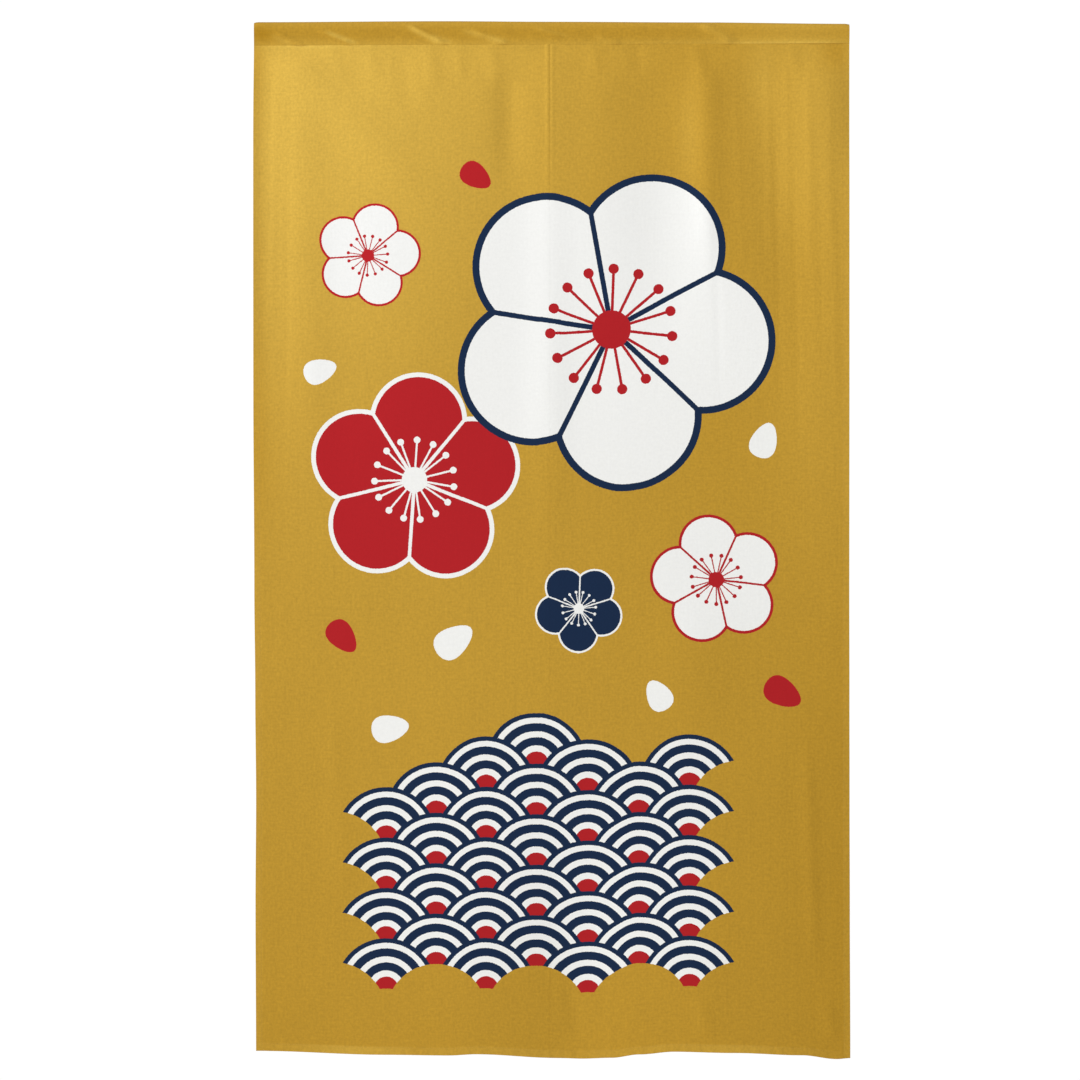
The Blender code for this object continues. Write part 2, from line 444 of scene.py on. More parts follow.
@dataclass(frozen=True)
class ClothGrid:
    """A sheet's points in rows and columns, their places in the flat cloth and the light and shade painted
    into its colour.
    """

    points: Array
    flat: Array
    lit: Array

    def build(self, name: str, face: bpy.types.Material, reverse: bpy.types.Material,
              thickness: float) -> bpy.types.Object:
        """Makes the sheet as an object with two faces and a thickness.

        Args:
            name: the object's name.
            face: the material of the printed face.
            reverse: the material of the other face.
            thickness: how thick the cloth is.

        Returns:
            The new object.
        """
        rows, columns = self.points.shape[:2]
        index = np.arange(rows * columns).reshape(rows, columns)
        quads = np.stack([index[:-1, :-1], index[1:, :-1], index[1:, 1:], index[:-1, 1:]], axis=-1)
        mesh = bpy.data.meshes.new(name)
        mesh.from_pydata((self.points.reshape(-1, 3) * MM).tolist(), [], quads.reshape(-1, 4).tolist())
        mesh.materials.append(face)
        mesh.materials.append(reverse)
        self.mark(mesh)
        mesh.shade_smooth()
        sheet = add_object(name, mesh)
        shell = sheet.modifiers.new("cloth_thickness", "SOLIDIFY")
        shell.thickness = thickness * MM
        shell.offset = -1.0
        shell.material_offset = 1
        return sheet

    def mark(self, mesh: bpy.types.Mesh) -> None:
        """Writes the flat cloth's coordinates and its painted light and shade to the mesh.

        Args:
            mesh: the sheet's mesh.
        """
        corners = np.empty(len(mesh.loops), dtype=np.int32)
        mesh.loops.foreach_get("vertex_index", corners)
        flat = (self.flat.reshape(-1, 2) * MM)[corners]
        mesh.uv_layers.new(name=UV_NAME).data.foreach_set("uv", flat.astype(np.float32).ravel())
        lit = mesh.attributes.new(PAINTED_LIGHT_NAME, "FLOAT", "POINT")
        lit.data.foreach_set("value", self.lit.astype(np.float32).ravel())


@dataclass(frozen=True)
class Seam:
    """A line of lockstitch: its points, and which way the face that it lies on looks."""

    line: Array
    outward: float


class Station(NamedTuple):
    """A ring of a stitch: its share of the pitch, and its lift and radius in thread widths."""

    share: float
    lift: float
    radius: float


@dataclass(frozen=True)
class Stitching:
    """Rows of machine stitches, each a short thread that dips into the cloth at both ends."""

    pitch: float = 3.2
    thread_width: float = 0.22
    sides: int = 5
    stations: tuple[Station, ...] = (Station(0.04, -0.5, 0.3), Station(0.3, 0.25, 0.5),
                                     Station(0.7, 0.25, 0.5), Station(0.96, -0.5, 0.3))

    def build(self, name: str, seams: Sequence[Seam], thread: bpy.types.Material) -> bpy.types.Object:
        """Makes all the stitches of some seams as one object.

        Args:
            name: the object's name.
            seams: the lines to stitch.
            thread: the thread's material.

        Returns:
            The new object.
        """
        tubes = [tube for seam in seams for tube in self.tubes(seam)]
        pattern = self.faces()
        size = len(self.stations) * self.sides
        faces = [[stitch * size + corner for corner in face] for stitch in range(len(tubes))
                 for face in pattern]
        mesh = bpy.data.meshes.new(name)
        mesh.from_pydata((np.concatenate(tubes) * MM).tolist(), [], faces)
        mesh.materials.append(thread)
        mesh.shade_smooth()
        return add_object(name, mesh)

    def faces(self) -> list[list[int]]:
        """The faces of one stitch, a tube that is closed at both ends.

        Returns:
            The corners of each face.
        """
        faces = []
        for low in range(0, (len(self.stations) - 1) * self.sides, self.sides):
            high = low + self.sides
            for corner in range(self.sides):
                after = (corner + 1) % self.sides
                faces.append([low + corner, low + after, high + after, high + corner])
        last = (len(self.stations) - 1) * self.sides
        return [*faces, list(reversed(range(self.sides))), list(range(last, last + self.sides))]

    def tubes(self, seam: Seam) -> list[Array]:
        """The points of each stitch of one seam.

        Args:
            seam: the line to stitch.

        Returns:
            Each stitch's points, ring after ring.
        """
        steps = np.linalg.norm(np.diff(seam.line, axis=0), axis=1)
        reached = np.concatenate([[0.0], np.cumsum(steps)])
        shares, lifts, radii = np.array(self.stations).T
        radii = radii[:, None, None] * self.thread_width
        around = np.arange(self.sides) * 2 * math.pi / self.sides
        tubes = []
        for stitch in range(int(reached[-1] / self.pitch)):
            at = (stitch + shares) * self.pitch
            middle = np.stack([np.interp(at, reached, seam.line[:, axis]) for axis in range(3)], axis=1)
            middle[:, 1] += lifts * self.thread_width * seam.outward
            along = middle[-1] - middle[0]
            along /= np.linalg.norm(along)
            side = np.cross(along, (0.0, 1.0, 0.0))
            up = np.cross(side, along)
            ring = np.outer(np.cos(around), side) + np.outer(np.sin(around), up)
            tubes.append((middle[:, None, :] + radii * ring[None, :, :]).reshape(-1, 3))
        return tubes


# Materials


def linear(code: str, gain: float = 1.0) -> tuple[float, float, float, float]:
    """Turns an sRGB hex colour to linear.

    Args:
        code: the colour, such as "#C79D3F".
        gain: a factor on the linear values.

    Returns:
        Red, green, blue and an alpha of 1.
    """
    parts = [int(code[start:start + 2], 16) / 255 for start in (1, 3, 5)]
    shades = [part / 12.92 if part <= 0.04045 else ((part + 0.055) / 1.055) ** 2.4 for part in parts]
    return (shades[0] * gain, shades[1] * gain, shades[2] * gain, 1.0)


def add_node(tree: Tree, kind: str, *terms: object, named: dict[str, object] | None = None,
             bands: Sequence[tuple[float, Sequence[float]]] = (), output: int | str = 0,
             **settings: object) -> Socket:
    """Adds a shader node with its settings and links.

    Args:
        tree: the material's or world's tree.
        kind: the node's type.
        terms: a socket to link or a value to set for each input in turn, or None to leave it.
        named: the same for inputs by name.
        bands: for a colour ramp, where each flat band starts and its colour.
        output: which output to hand back.
        settings: the node's own properties.

    Returns:
        The output socket, or None where the node has no output.
    """
    node = tree.nodes.new(kind)
    for key, value in settings.items():
        setattr(node, key, value)
    given = [(node.inputs[place], term) for place, term in enumerate(terms)]
    given += [(node.inputs[key], term) for key, term in (named or {}).items()]
    for socket, term in given:
        if isinstance(term, Socket):
            tree.links.new(term, socket)
        elif term is not None:
            socket.default_value = term
    if bands:
        node.color_ramp.interpolation = "CONSTANT"
        elements = node.color_ramp.elements
        while len(elements) < len(bands):
            elements.new(1.0)
        for element, (start, colour) in zip(elements, bands):
            element.position = start
            element.color = colour
    return node.outputs[output] if node.outputs else None


def new_material(name: str) -> bpy.types.Material:
    """Makes a material with an empty tree.

    Args:
        name: the material's name.

    Returns:
        The material.
    """
    material = bpy.data.materials.new(name)
    material.use_nodes = True
    material.node_tree.nodes.clear()
    return material


@dataclass(frozen=True)
class DyeWithPaintedLight:
    """A colour of the cloth: as the dye looks by itself, and a brighter copy that paints daylight shining
    through it.
    """

    deep: str
    lit: str


class Ink(Enum):
    """What covers the cloth at a place of the print; each value is its place in the palette."""

    BARE = 0
    WHITE = 1
    RED = 2
    NAVY = 3


@dataclass(frozen=True)
class Motif:
    """A figure of the print: where its middle is, and its radius."""

    across: float
    drop: float
    radius: float

    def place(self, tree: Tree, flat: Socket) -> Socket:
        """Finds where a point of the cloth lies from the motif's middle.

        Args:
            tree: the material's tree.
            flat: the place in the flat cloth, in metres.

        Returns:
            The place from the middle, in radii.
        """
        middle = (self.across * MM, self.drop * MM, 0.0)
        offset = add_node(tree, VECTOR, flat, middle, operation="SUBTRACT")
        return add_node(tree, VECTOR, offset, operation="SCALE", named={"Scale": 1 / (self.radius * MM)})


@dataclass(frozen=True)
class Blossom(Motif):
    """A five-petalled plum blossom: its turn in degrees, its inks, and its sizes in radii."""

    turn: float
    petals: Ink
    outline: Ink
    heart: Ink
    petal_middle: float = 0.56
    petal_radius: float = 0.44
    core: float = 0.2
    petal_gap: float = 0.016
    line: float = 0.022
    line_start: float = 0.5
    stalk: float = 0.009
    stalk_end: float = 0.36
    head_middle: float = 0.38
    head: float = 0.032
    heart_radius: float = 0.12

    def draw(self, tree: Tree, place: Socket, ink: Socket) -> Socket:
        """Draws the blossom over what is already printed.

        Args:
            tree: the material's tree.
            place: the place from the blossom's middle, in radii.
            ink: the ink so far.

        Returns:
            The ink with the blossom.
        """
        far = add_node(tree, VECTOR, place, operation="LENGTH", output="Value")
        x = add_node(tree, SPLIT, place)
        angle = add_node(tree, MATH, x.node.outputs[1], x, operation="ARCTAN2")
        angle = add_node(tree, MATH, angle, math.radians(self.turn), operation="ADD")
        # One petal is drawn and repeated every fifth of a turn
        fifth = math.pi / 5
        folded, _, petal = self.sector(tree, angle, far, fifth)
        edge = add_node(tree, VECTOR, petal, (self.petal_middle, 0.0, 0.0), operation="DISTANCE",
                        output="Value")
        edge = add_node(tree, MATH, edge, self.petal_radius, operation="SUBTRACT")
        core = add_node(tree, MATH, far, self.core, operation="SUBTRACT")
        edge = add_node(tree, MATH, edge, core, operation="MINIMUM")
        inside = add_node(tree, MATH, edge, 0.0, operation="LESS_THAN")
        ink = add_node(tree, MIX, inside, None, ink, float(self.petals.value), data_type="FLOAT")
        # Narrow gaps between the petals
        aslant = add_node(tree, MATH, folded, operation="ABSOLUTE")
        aslant = add_node(tree, MATH, fifth, aslant, operation="SUBTRACT")
        aslant = add_node(tree, MATH, aslant, far, operation="MULTIPLY")
        gap = add_node(tree, MATH, aslant, self.petal_gap, operation="LESS_THAN")
        gap = add_node(tree, MATH, gap, inside, operation="MULTIPLY")
        around = add_node(tree, MATH, edge, 0.0, self.line, operation="COMPARE")
        outer = add_node(tree, MATH, far, self.line_start, operation="GREATER_THAN")
        around = add_node(tree, MATH, around, outer, operation="MULTIPLY")
        lines = add_node(tree, MATH, gap, around, operation="MAXIMUM")
        ink = add_node(tree, MIX, lines, None, ink, float(self.outline.value), data_type="FLOAT")
        # A ring of stamens, three to a petal, each with a round head
        _, aside, stamen = self.sector(tree, angle, far, fifth / 3)
        stalk = add_node(tree, MATH, aside, 0.0, self.stalk, operation="COMPARE")
        short = add_node(tree, MATH, far, self.stalk_end, operation="LESS_THAN")
        stamens = add_node(tree, MATH, stalk, short, operation="MULTIPLY")
        head = add_node(tree, VECTOR, stamen, (self.head_middle, 0.0, 0.0), operation="DISTANCE",
                        output="Value")
        for value, radius in ((head, self.head), (far, self.heart_radius)):
            disc = add_node(tree, MATH, value, radius, operation="LESS_THAN")
            stamens = add_node(tree, MATH, stamens, disc, operation="MAXIMUM")
        return add_node(tree, MIX, stamens, None, ink, float(self.heart.value), data_type="FLOAT")

    def sector(self, tree: Tree, angle: Socket, far: Socket,
               half_turn: float) -> tuple[Socket, Socket, Socket]:
        """Folds the cloth round the middle into one sector that lies along X.

        Args:
            tree: the material's tree.
            angle: the angle round the middle.
            far: the distance from the middle.
            half_turn: half the sector's angle.

        Returns:
            The angle from the sector's middle line, the distance from that line, and the place.
        """
        folded = add_node(tree, MATH, angle, half_turn, -half_turn, operation="WRAP")
        parts = []
        for part in ("COSINE", "SINE"):
            share = add_node(tree, MATH, folded, operation=part)
            parts.append(add_node(tree, MATH, share, far, operation="MULTIPLY"))
        return folded, parts[1], add_node(tree, JOIN, *parts, 0.0)


@dataclass(frozen=True)
class Petal(Motif):
    """A loose petal, drawn as a leaning egg: its lean in degrees, its ink and its form."""

    turn: float
    ink: Ink
    slimness: float = 1.45
    taper: float = 0.45

    def draw(self, tree: Tree, place: Socket, ink: Socket) -> Socket:
        """Draws the petal over what is already printed.

        Args:
            tree: the material's tree.
            place: the place from the petal's middle, in half lengths.
            ink: the ink so far.

        Returns:
            The ink with the petal.
        """
        turned = add_node(tree, "ShaderNodeVectorRotate", place, rotation_type="Z_AXIS",
                          named={"Angle": math.radians(self.turn)})
        # The egg is wider at its outer end
        x = add_node(tree, SPLIT, turned)
        widening = add_node(tree, MATH, x, self.taper, self.slimness, operation="MULTIPLY_ADD")
        across = add_node(tree, MATH, x.node.outputs[1], widening, operation="MULTIPLY")
        egg = add_node(tree, JOIN, x, across, 0.0)
        far = add_node(tree, VECTOR, egg, operation="LENGTH", output="Value")
        inside = add_node(tree, MATH, far, 1.0, operation="LESS_THAN")
        return add_node(tree, MIX, inside, None, ink, float(self.ink.value), data_type="FLOAT")


class Ring(NamedTuple):
    """A ring of a wave scale: where it starts, in radii, and its ink."""

    start: float
    ink: Ink


@dataclass(frozen=True)
class Waves(Motif):
    """Overlapping round wave scales that rise to peaks, given by place across and row."""

    rows: int = 10
    side_scales: float = 3.5
    peaks: tuple[tuple[float, float], ...] = ((0.0, 0.0), (3.0, 1.0))
    row_step: float = 0.5
    rings: tuple[Ring, ...] = (
        Ring(0.0, Ink.RED), Ring(0.24, Ink.WHITE), Ring(0.36, Ink.NAVY), Ring(0.52, Ink.WHITE),
        Ring(0.64, Ink.NAVY), Ring(0.8, Ink.WHITE), Ring(0.91, Ink.NAVY))

    def draw(self, tree: Tree, place: Socket, ink: Socket) -> Socket:
        """Draws the waves over what is already printed.

        Args:
            tree: the material's tree.
            place: the place from the top scale's middle, in a scale's radii.
            ink: the ink so far.

        Returns:
            The ink with the waves.
        """
        x = add_node(tree, SPLIT, place)
        y = x.node.outputs[1]
        level = add_node(tree, MATH, y, self.row_step, operation="DIVIDE")
        level = add_node(tree, MATH, level, operation="CEIL")
        # Each place belongs to the lowest of the rows that reach it, as if the waves went on
        found = []
        for below in (-1.0, 0.0, 1.0):
            row = add_node(tree, MATH, level, below, operation="ADD")
            along = add_node(tree, MATH, x, row, operation="SUBTRACT")
            along = add_node(tree, MATH, along, 1.0, -1.0, operation="WRAP")
            down = add_node(tree, MATH, row, -self.row_step, y, operation="MULTIPLY_ADD")
            spot = add_node(tree, JOIN, along, down, 0.0)
            reach = add_node(tree, VECTOR, spot, operation="LENGTH", output="Value")
            found.append((row, along, reach))
        row, along, reach = found[0]
        for lower in found[1:]:
            reached = add_node(tree, MATH, lower[2], 1.0, operation="LESS_THAN")
            row, along, reach = (add_node(tree, MIX, reached, None, upper_value, lower_value,
                                          data_type="FLOAT")
                                 for upper_value, lower_value in zip((row, along, reach), lower))
        # Only the scales whose own middle lies under a peak and within the sides are printed
        middle = add_node(tree, MATH, x, along, operation="SUBTRACT")
        slope: Socket | float = float(self.rows)
        for peak_x, peak_row in self.peaks:
            from_peak = add_node(tree, MATH, middle, peak_x, operation="SUBTRACT")
            from_peak = add_node(tree, MATH, from_peak, operation="ABSOLUTE")
            from_peak = add_node(tree, MATH, from_peak, peak_row, operation="ADD")
            slope = add_node(tree, MATH, from_peak, slope, operation="MINIMUM")
        above_row = add_node(tree, MATH, slope, row, operation="SUBTRACT")
        aside = add_node(tree, MATH, middle, operation="ABSOLUTE")
        covered: Socket | float = 1.0
        for value, limit in ((above_row, 0.5), (aside, self.side_scales), (row, self.rows - 0.5),
                             (reach, 1.0)):
            held = add_node(tree, MATH, value, limit, operation="LESS_THAN")
            covered = add_node(tree, MATH, covered, held, operation="MULTIPLY")
        bands = [(ring.start, (*[ring.ink.value / len(Ink)] * 3, 1.0)) for ring in self.rings]
        ring = add_node(tree, RAMP, reach, bands=bands)
        ring = add_node(tree, MATH, ring, float(len(Ink)), operation="MULTIPLY")
        return add_node(tree, MIX, covered, None, ink, ring, data_type="FLOAT")


PRINT = (
    Waves(-22, 1058, 72),
    Blossom(-196, 655, 150, 14, Ink.RED, Ink.WHITE, Ink.WHITE),
    Blossom(84, 440, 228, -8, Ink.WHITE, Ink.NAVY, Ink.RED),
    Blossom(232, 800, 92, 30, Ink.WHITE, Ink.RED, Ink.RED),
    Blossom(-262, 335, 74, 4, Ink.WHITE, Ink.RED, Ink.RED),
    Blossom(38, 836, 62, -20, Ink.NAVY, Ink.WHITE, Ink.WHITE),
    Petal(-140, 885, 30, 35, Ink.WHITE),
    Petal(-300, 880, 26, -50, Ink.RED),
    Petal(300, 600, 26, 70, Ink.WHITE),
    Petal(-330, 500, 24, 20, Ink.WHITE),
    Petal(326, 960, 28, -30, Ink.RED),
    Petal(-232, 1010, 27, 10, Ink.WHITE),
    Petal(150, 965, 24, 120, Ink.WHITE),
    Petal(-108, 222, 24, -35, Ink.RED),
)


# Each colour comes twice, the dye by itself and a copy lit with painted light; the painted light mixes
# them, and goes past them for stronger painted light or painted shade
GOLD = DyeWithPaintedLight("#B98D26", "#D8B048")
REVERSE_GOLD = DyeWithPaintedLight("#B9924A", "#D2AE62")
INKS = {
    Ink.WHITE: DyeWithPaintedLight("#F2F2EF", "#F5F5F3"),
    Ink.RED: DyeWithPaintedLight("#AE171E", "#C01B23"),
    Ink.NAVY: DyeWithPaintedLight("#0A2342", "#0D284A"),
}


class Unevenness(NamedTuple):
    """Noise in the yarn: how wide and long its patches are, and how strongly they shade the cloth."""

    width: float
    length: float
    depth: float


# Slubs along the warp, slubs along the weft, long streaks, broad upright bands and a soft mottle
YARN = (
    Unevenness(3.0, 50.0, 0.07),
    Unevenness(12.0, 2.4, 0.16),
    Unevenness(9.0, 240.0, 0.04),
    Unevenness(70.0, 100.0, 0.05),
    Unevenness(3.4, 4.6, 0.3),
)


@dataclass(frozen=True)
class WovenPolyester:
    """Spun polyester cloth, plain woven, piece dyed and roller printed with pigment.

    Short fibres and no coating give it a dry, matt face with faint crossed threads, and long fine
    streaks where the yarn is uneven. Painted light brightens its dye as if daylight shone through
    the thin cloth, and painted shade darkens it in places.
    """

    name: str
    ground: DyeWithPaintedLight
    motifs: tuple[Blossom | Petal | Waves, ...] = ()
    print_strength: float = 1.0
    roughness: float = 0.8
    thread_pitch: float = 0.8
    thread_shade: float = 0.02
    thread_height: float = 0.5
    relief: float = 0.12
    under_print: float = 0.25
    ragged_scale: float = 900.0
    ragged_width: float = 1.6

    def make(self) -> bpy.types.Material:
        """Builds the cloth's material.

        Returns:
            The material.
        """
        material = new_material(self.name)
        tree = material.node_tree
        flat = add_node(tree, "ShaderNodeUVMap", uv_map=UV_NAME)
        shade, height = self.weave(tree, flat)
        dyed, bare = self.dyed(tree, flat)
        # The pigment's film evens out the cloth under it
        shade = add_node(tree, MATH, shade, 1.0, operation="SUBTRACT")
        kept = add_node(tree, MATH, bare, 1.0 - self.under_print, self.under_print,
                        operation="MULTIPLY_ADD")
        shade = add_node(tree, MATH, shade, kept, 1.0, operation="MULTIPLY_ADD")
        colour = add_node(tree, VECTOR, dyed, operation="SCALE", named={"Scale": shade})
        bump = add_node(tree, "ShaderNodeBump", named={"Height": height, "Strength": 0.5,
                                                       "Distance": self.relief * MM})
        shader = add_node(tree, PRINCIPLED, named={
            "Base Color": colour, "Roughness": self.roughness, "Normal": bump,
            "Specular IOR Level": 0.2, "Sheen Weight": 0.06, "Sheen Roughness": 0.45})
        add_node(tree, "ShaderNodeOutputMaterial", shader)
        return material

    def weave(self, tree: Tree, flat: Socket) -> tuple[Socket, Socket]:
        """Draws the crossed threads and the yarn's unevenness.

        The real threads are about 0.35 mm apart. They are drawn 0.8 mm apart so that they show.

        Args:
            tree: the material's tree.
            flat: the place in the flat cloth, in metres.

        Returns:
            A factor on the colour, and the height for the bump.
        """
        x = add_node(tree, SPLIT, flat)
        y = x.node.outputs[1]
        waves = []
        for way in (x, y):
            turn = add_node(tree, MATH, way, math.pi / (self.thread_pitch * MM), operation="MULTIPLY")
            waves.append(add_node(tree, MATH, turn, operation="SINE"))
        crossing = add_node(tree, MATH, waves[0], waves[1], operation="MULTIPLY")
        shade: Socket | float = 1.0
        slubs = []
        for yarn in YARN:
            scaled = add_node(tree, VECTOR, flat, (1 / (yarn.width * MM), 1 / (yarn.length * MM), 1.0),
                              operation="MULTIPLY")
            noise = add_node(tree, NOISE, scaled, noise_dimensions="2D",
                             named={"Scale": 1.0, "Detail": 2.0, "Roughness": 0.55})
            slubs.append(noise)
            centred = add_node(tree, MATH, noise, 0.5, operation="SUBTRACT")
            shade = add_node(tree, MATH, centred, yarn.depth, shade, operation="MULTIPLY_ADD")
        shade = add_node(tree, MATH, crossing, self.thread_shade, shade, operation="MULTIPLY_ADD")
        height = add_node(tree, MATH, slubs[0], slubs[1], operation="ADD")
        height = add_node(tree, MATH, crossing, self.thread_height, height, operation="MULTIPLY_ADD")
        return shade, height

    def dyed(self, tree: Tree, flat: Socket) -> tuple[Socket, Socket]:
        """Colours the ground and its print, with painted light and shade that stand in for daylight shining
        through.

        Args:
            tree: the material's tree.
            flat: the place in the flat cloth, in metres.

        Returns:
            The colour of the cloth, without the weave, and 1 where nothing is printed on it.
        """
        # The edge of a pigment print steps over the threads, so it is drawn about 0.5 mm uneven
        ragged = add_node(tree, NOISE, flat, named={"Scale": self.ragged_scale, "Detail": 1.0},
                          output="Color")
        ragged = add_node(tree, VECTOR, ragged, (0.5, 0.5, 0.5), operation="SUBTRACT")
        ragged_by = self.ragged_width * MM
        ragged = add_node(tree, VECTOR, ragged, (ragged_by, ragged_by, 0.0), operation="MULTIPLY")
        place = add_node(tree, VECTOR, flat, ragged, operation="ADD")
        place = add_node(tree, VECTOR, place, (1.0, 1.0, 0.0), operation="MULTIPLY")
        ink = add_node(tree, "ShaderNodeValue")
        ink.default_value = float(Ink.BARE.value)
        for motif in self.motifs:
            ink = motif.draw(tree, motif.place(tree, place), ink)
        # Each ink's band is half a place wider on both sides of its own value
        share = add_node(tree, MATH, ink, 1.0 / len(Ink), 0.5 / len(Ink), operation="MULTIPLY_ADD")
        palettes = [add_node(tree, RAMP, share, bands=self.palette(light))
                    for light in ("deep", "lit")]
        # Painted light and shade: the mesh's painted daylight mixes each colour with its lit copy, past
        # both ends where it is stronger
        through = add_node(tree, "ShaderNodeAttribute", attribute_name=PAINTED_LIGHT_NAME, output="Fac")
        colour = add_node(tree, MIX, through, None, None, None, None, None, *palettes,
                          data_type="RGBA", clamp_factor=False, output=2)
        return colour, add_node(tree, MATH, ink, 0.5, operation="LESS_THAN")

    def palette(self, light: str) -> list[tuple[float, Sequence[float]]]:
        """The ground and the inks, one after another.

        Args:
            light: "deep" for each dye by itself, or "lit" for its copy brightened with painted light.

        Returns:
            Where each colour's band starts, and the colour.
        """
        ground = np.array(linear(getattr(self.ground, light)))
        bands = [(0.0, ground.tolist())]
        for ink, dye in INKS.items():
            colour = ground + self.print_strength * (np.array(linear(getattr(dye, light))) - ground)
            bands.append((ink.value / len(Ink), colour.tolist()))
        return bands


@dataclass(frozen=True)
class SewingThread:
    """Spun polyester sewing thread in the cloth's own gold, a little deeper where it is twisted."""

    name: str = "spun_polyester_thread"
    dye: str = "#C89D38"

    def make(self) -> bpy.types.Material:
        """Builds the thread's material.

        Returns:
            The material.
        """
        material = new_material(self.name)
        tree = material.node_tree
        place = add_node(tree, "ShaderNodeTexCoord", output="Object")
        noise = add_node(tree, NOISE, place, named={"Scale": 700.0, "Detail": 1.0})
        shade = add_node(tree, MATH, noise, 0.3, 0.85, operation="MULTIPLY_ADD")
        colour = add_node(tree, VECTOR, linear(self.dye)[:3], operation="SCALE", named={"Scale": shade})
        shader = add_node(tree, PRINCIPLED, named={
            "Base Color": colour, "Roughness": 0.6, "Specular IOR Level": 0.4, "Sheen Weight": 0.2})
        add_node(tree, "ShaderNodeOutputMaterial", shader)
        return material


# Sub-assemblies


@dataclass
class HeadingSleeve:
    """The strip of cloth that goes over the rod and is stitched to itself below it."""

    drape: Marks
    face: bpy.types.Material
    reverse: bpy.types.Material
    thread: bpy.types.Material
    half_width: float = 425.0
    thickness: float = 0.45
    column_step: float = 3.0
    end_edge: float = 0.25
    turning: float = 6.0
    inner_depth: float = 0.7
    stitch_height: float = 3.0
    corner_drop: float = 1.1
    corner_width: float = 5.0
    cut_length: float = 86.0
    finished_length: float = 33.0
    bolt_place: float = 2000.0
    top_share: float = 0.1
    top_steps: int = 8
    face_steps: int = 18
    roll_steps: int = 5
    turning_steps: int = 3
    softening: tuple[float, float, float] = (0.25, 0.5, 0.25)
    front_ease: float = 1.2
    top_ease: float = 0.15
    stitch_depth: float = 1.86
    stitch_margin: float = 2.0
    seam_step: float = 2.0

    def section(self) -> tuple[Array, Array, Array]:
        """The strip's section from its end inside the back to its end inside the front.

        Returns:
            The depth behind the middle, the share of the way down, and the height above or below
            that share's own height.
        """
        shares, depths = np.array(SLEEVE_PROFILE).T
        fine = np.concatenate([np.linspace(0, self.top_share, self.top_steps + 1)[:-1],
                               np.linspace(self.top_share, 1.0, self.face_steps + 1)])
        depth = np.interp(fine, shares, depths)
        smooth = np.convolve(np.pad(depth, 1, mode="edge"), self.softening, mode="valid")
        smooth[0], smooth[-1] = 0.0, depth[-1]
        roll = (depths[-1] - self.inner_depth) / 2
        middle = (depths[-1] + self.inner_depth) / 2
        turn = np.linspace(0, math.pi, self.roll_steps + 1)[1:]
        rolled = middle + roll * np.cos(turn)
        dip = -roll * np.sin(turn)
        tucked = np.linspace(0, self.turning, self.turning_steps + 1)[1:]
        half_depth = np.concatenate([smooth, rolled, np.full(len(tucked), self.inner_depth)])
        share = np.concatenate([fine, np.ones(len(rolled) + len(tucked))])
        shift = np.concatenate([np.zeros(len(fine)), dip, tucked])
        # The strip runs up the back, over the top fold and down the front
        depth_all = np.concatenate([half_depth[::-1], -half_depth[1:]])
        return depth_all, np.concatenate([share[::-1], share[1:]]), np.concatenate([shift[::-1], shift[1:]])

    def grid(self) -> ClothGrid:
        """The strip's points.

        Returns:
            The grid of the whole strip.
        """
        depth, share, shift = self.section()
        columns = int(2 * self.half_width / self.column_step) + 1
        inner = np.linspace(self.end_edge - self.half_width, self.half_width - self.end_edge, columns)
        across = np.concatenate([[-self.half_width], inner, [self.half_width]])
        x, behind = np.meshgrid(across, depth)
        crown = read_line(HEADING_LINE, x, "crown")
        from_end = self.half_width - np.abs(x)
        crown = crown - self.corner_drop * (1 - smooth_step(from_end / self.corner_width))
        seam = read_line(HEADING_LINE, x, "seam")
        height = crown + (seam - crown) * share[:, None] + shift[:, None]
        in_front = smooth_step(-behind / self.front_ease) * smooth_step(share[:, None] / self.top_ease)
        y = behind - total(self.drape, x, -height) * in_front
        points = np.stack([x, y, height], axis=-1)
        steps = np.hypot(np.diff(depth), np.diff(self.finished_length * share - shift))
        length = np.concatenate([[0.0], np.cumsum(steps)])
        flat = np.stack([x, np.broadcast_to(length[:, None] + self.bolt_place, x.shape)], axis=-1)
        # Painted light and shade on the sleeve, with painted highlights along its drag lines
        return ClothGrid(points, flat, total(SLEEVE_PAINTED_LIGHT + SLEEVE_PAINTED_STREAKS, x, -height))

    def seams(self) -> list[Seam]:
        """The two rows of stitches that close the sleeve, on its front and its back.

        Returns:
            The seams.
        """
        end = self.half_width - self.stitch_margin
        across = np.arange(-end, end + self.seam_step / 2, self.seam_step)
        height = read_line(HEADING_LINE, across, "seam") + self.stitch_height
        depth = np.full(across.shape, self.stitch_depth)
        rise = total(self.drape, across, -height)
        front = np.stack([across, -depth - rise, height], axis=-1)
        back = np.stack([across, depth, height], axis=-1)
        return [Seam(front, -1.0), Seam(back, 1.0)]

    def build(self) -> list[bpy.types.Object]:
        """Builds and dresses the sleeve and its stitches.

        Returns:
            The new objects.
        """
        sleeve = self.grid().build("sleeve_cloth", self.face, self.reverse, self.thickness)
        stitches = Stitching().build("sleeve_stitches", self.seams(), self.thread)
        for piece in (sleeve, stitches):
            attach(piece, "root")
        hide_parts("heading_sleeve")
        return [sleeve, stitches]


class Side(Enum):
    """Which side of the slit a panel hangs on."""

    LEFT = "left"
    RIGHT = "right"


class Ripple(NamedTuple):
    """The small uneven ripple that the thread's pull leaves along a hem."""

    wave: float
    wander: float
    wander_wave: float
    reach: float
    rise: float

    def at(self, along: Array, inward: Array) -> Array:
        """How far the ripple takes the cloth back.

        Args:
            along: places along the hem.
            inward: distances from its edge.

        Returns:
            The distance at each point.
        """
        wandering = self.wander * np.sin(along / self.wander_wave)
        return self.rise * np.sin(along / self.wave + wandering) * hump(inward, self.reach)


